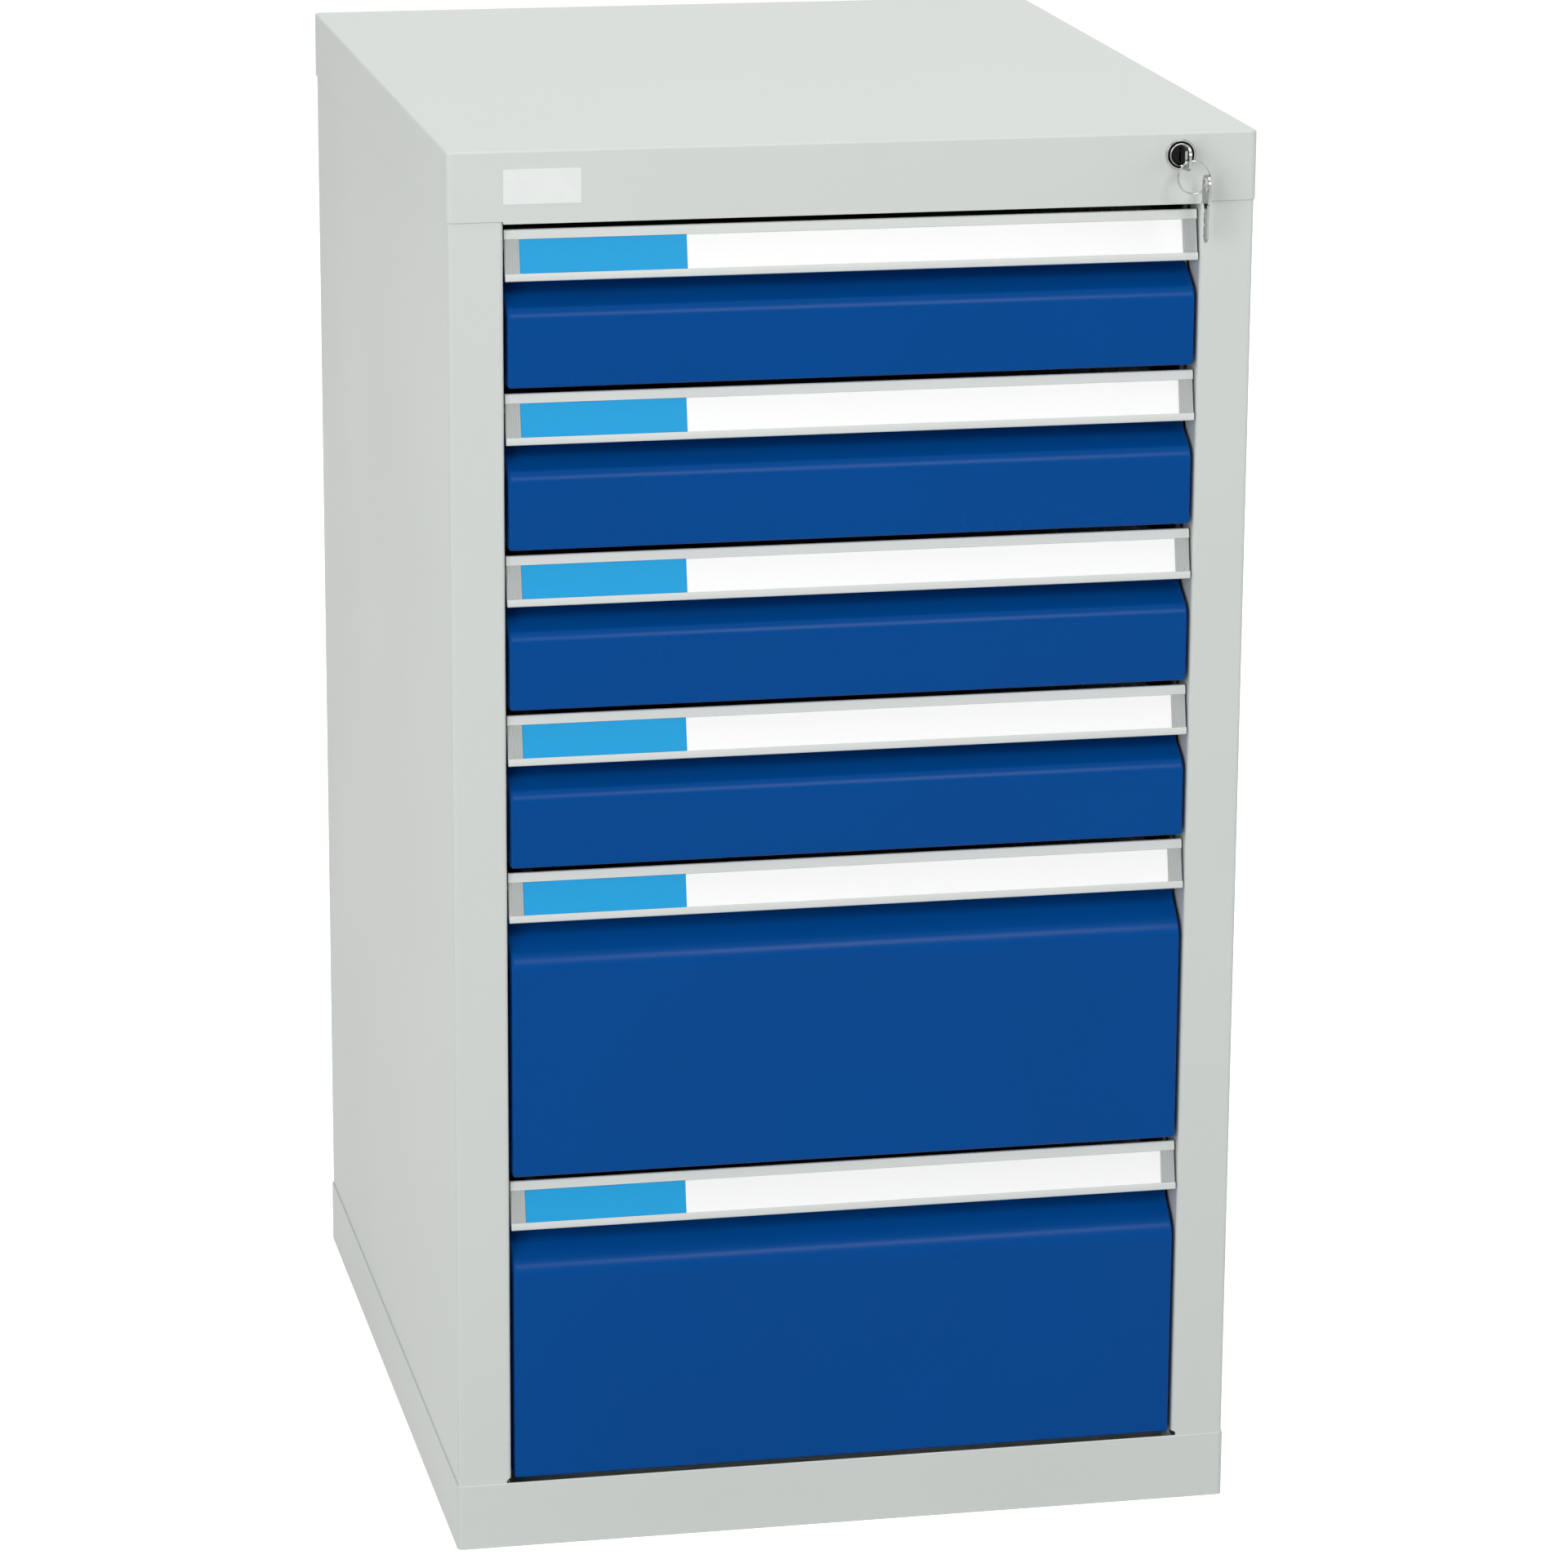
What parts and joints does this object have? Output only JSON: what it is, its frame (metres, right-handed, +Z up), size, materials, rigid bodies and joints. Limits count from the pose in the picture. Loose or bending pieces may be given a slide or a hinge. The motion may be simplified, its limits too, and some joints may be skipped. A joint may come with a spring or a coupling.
{
  "type": "modular drawer cabinet",
  "caption": "Floor-standing sheet steel cabinet whose drawers pull right out on telescopic runners, with a grip and label strip on each front and a keyed lock bar.",
  "frame": {"origin": "centre of the cabinet's footprint, on the floor", "axes": "+X to the right of someone facing the drawers, +Y to the cabinet's back, +Z up"},
  "size_m": [0.5, 0.6245, 0.89],
  "materials": {
    "light_grey_paint": "light grey powder coat, smooth satin",
    "blue_paint": "deep blue powder coat, smooth satin",
    "strip_grey": "light grey extruded plastic",
    "cap_grey": "mid grey moulded plastic",
    "label": "blank label strip, white with a light blue field",
    "tray_grey": "light grey powder coat inside the drawers",
    "zinc": "zinc plated steel",
    "chrome": "nickel plated brass",
    "white_plate": "blank white sticker"
  },
  "bodies": {
    "cabinet": {"left_side_panel": "light_grey_paint", "right_side_panel": "light_grey_paint", "back_panel": "light_grey_paint", "top_cover": "light_grey_paint", "plinth": "light_grey_paint", "floor_panel": "light_grey_paint", "slotted_posts": "zinc", "outer_rails": "zinc", "name_plate": "white_plate", "fasteners": "zinc", "lock_barrel": "chrome", "lock_nut": "zinc"},
    "lock": {"lock_plug": "chrome", "lock_cam": "zinc", "key": "chrome"},
    "ring": {"key_ring": "chrome"},
    "spare": {"spare_key": "chrome"},
    "locking_bar": {"lock_bar": "zinc"},
    "drawer_1": {"drawer_1_tray": "tray_grey", "drawer_1_front": "blue_paint", "drawer_1_handle": "strip_grey", "drawer_1_label": "label", "drawer_1_end_caps": "cap_grey", "drawer_1_inner_rails": "zinc"},
    "slides_1": {"drawer_1_middle_rails": "zinc"},
    "drawer_2": {"drawer_2_tray": "tray_grey", "drawer_2_front": "blue_paint", "drawer_2_handle": "strip_grey", "drawer_2_label": "label", "drawer_2_end_caps": "cap_grey", "drawer_2_inner_rails": "zinc"},
    "slides_2": {"drawer_2_middle_rails": "zinc"},
    "drawer_3": {"drawer_3_tray": "tray_grey", "drawer_3_front": "blue_paint", "drawer_3_handle": "strip_grey", "drawer_3_label": "label", "drawer_3_end_caps": "cap_grey", "drawer_3_inner_rails": "zinc"},
    "slides_3": {"drawer_3_middle_rails": "zinc"},
    "drawer_4": {"drawer_4_tray": "tray_grey", "drawer_4_front": "blue_paint", "drawer_4_handle": "strip_grey", "drawer_4_label": "label", "drawer_4_end_caps": "cap_grey", "drawer_4_inner_rails": "zinc"},
    "slides_4": {"drawer_4_middle_rails": "zinc"},
    "drawer_5": {"drawer_5_tray": "tray_grey", "drawer_5_front": "blue_paint", "drawer_5_handle": "strip_grey", "drawer_5_label": "label", "drawer_5_end_caps": "cap_grey", "drawer_5_inner_rails": "zinc"},
    "slides_5": {"drawer_5_middle_rails": "zinc"},
    "drawer_6": {"drawer_6_tray": "tray_grey", "drawer_6_front": "blue_paint", "drawer_6_handle": "strip_grey", "drawer_6_label": "label", "drawer_6_end_caps": "cap_grey", "drawer_6_inner_rails": "zinc"},
    "slides_6": {"drawer_6_middle_rails": "zinc"}
  },
  "joints": [
    {"name": "lock_turn", "type": "hinge", "parent": "cabinet", "child": "lock", "pos_m": [0.2015, -0.3, 0.8763], "axis": [0, -1, 0], "range_deg": [0, 90]},
    {"name": "bar_lift", "type": "slide", "parent": "cabinet", "child": "locking_bar", "axis": [0, 0, 1], "range_m": [0, 0.01413]},
    {"name": "ring_hang", "type": "hinge", "parent": "lock", "child": "ring", "pos_m": [0.2015, -0.317, 0.8705], "axis": [0, -1, 0], "range_deg": [-90, 0]},
    {"name": "spare_swing", "type": "hinge", "parent": "ring", "child": "spare", "pos_m": [0.2137, -0.317, 0.85911], "axis": [-1, 0, 0], "range_deg": [-10, 95]},
    {"name": "drawer_1_slide", "type": "slide", "parent": "cabinet", "child": "drawer_1", "axis": [0, -1, 0], "range_m": [0, 0.54]},
    {"name": "slides_1_slide", "type": "slide", "parent": "cabinet", "child": "slides_1", "axis": [0, -1, 0], "range_m": [0, 0.271]},
    {"name": "drawer_2_slide", "type": "slide", "parent": "cabinet", "child": "drawer_2", "axis": [0, -1, 0], "range_m": [0, 0.54]},
    {"name": "slides_2_slide", "type": "slide", "parent": "cabinet", "child": "slides_2", "axis": [0, -1, 0], "range_m": [0, 0.271]},
    {"name": "drawer_3_slide", "type": "slide", "parent": "cabinet", "child": "drawer_3", "axis": [0, -1, 0], "range_m": [0, 0.54]},
    {"name": "slides_3_slide", "type": "slide", "parent": "cabinet", "child": "slides_3", "axis": [0, -1, 0], "range_m": [0, 0.271]},
    {"name": "drawer_4_slide", "type": "slide", "parent": "cabinet", "child": "drawer_4", "axis": [0, -1, 0], "range_m": [0, 0.54]},
    {"name": "slides_4_slide", "type": "slide", "parent": "cabinet", "child": "slides_4", "axis": [0, -1, 0], "range_m": [0, 0.271]},
    {"name": "drawer_5_slide", "type": "slide", "parent": "cabinet", "child": "drawer_5", "axis": [0, -1, 0], "range_m": [0, 0.54]},
    {"name": "slides_5_slide", "type": "slide", "parent": "cabinet", "child": "slides_5", "axis": [0, -1, 0], "range_m": [0, 0.271]},
    {"name": "drawer_6_slide", "type": "slide", "parent": "cabinet", "child": "drawer_6", "axis": [0, -1, 0], "range_m": [0, 0.54]},
    {"name": "slides_6_slide", "type": "slide", "parent": "cabinet", "child": "slides_6", "axis": [0, -1, 0], "range_m": [0, 0.271]}
  ],
  "couplings": [
    {"joint": "lock_turn", "follows": "bar_lift", "rad_per_m": 111.11},
    {"joint": "ring_hang", "follows": "bar_lift", "rad_per_m": -111.11},
    {"joint": "slides_1_slide", "follows": "drawer_1_slide", "ratio": 0.5},
    {"joint": "slides_2_slide", "follows": "drawer_2_slide", "ratio": 0.5},
    {"joint": "slides_3_slide", "follows": "drawer_3_slide", "ratio": 0.5},
    {"joint": "slides_4_slide", "follows": "drawer_4_slide", "ratio": 0.5},
    {"joint": "slides_5_slide", "follows": "drawer_5_slide", "ratio": 0.5},
    {"joint": "slides_6_slide", "follows": "drawer_6_slide", "ratio": 0.5}
  ]
}
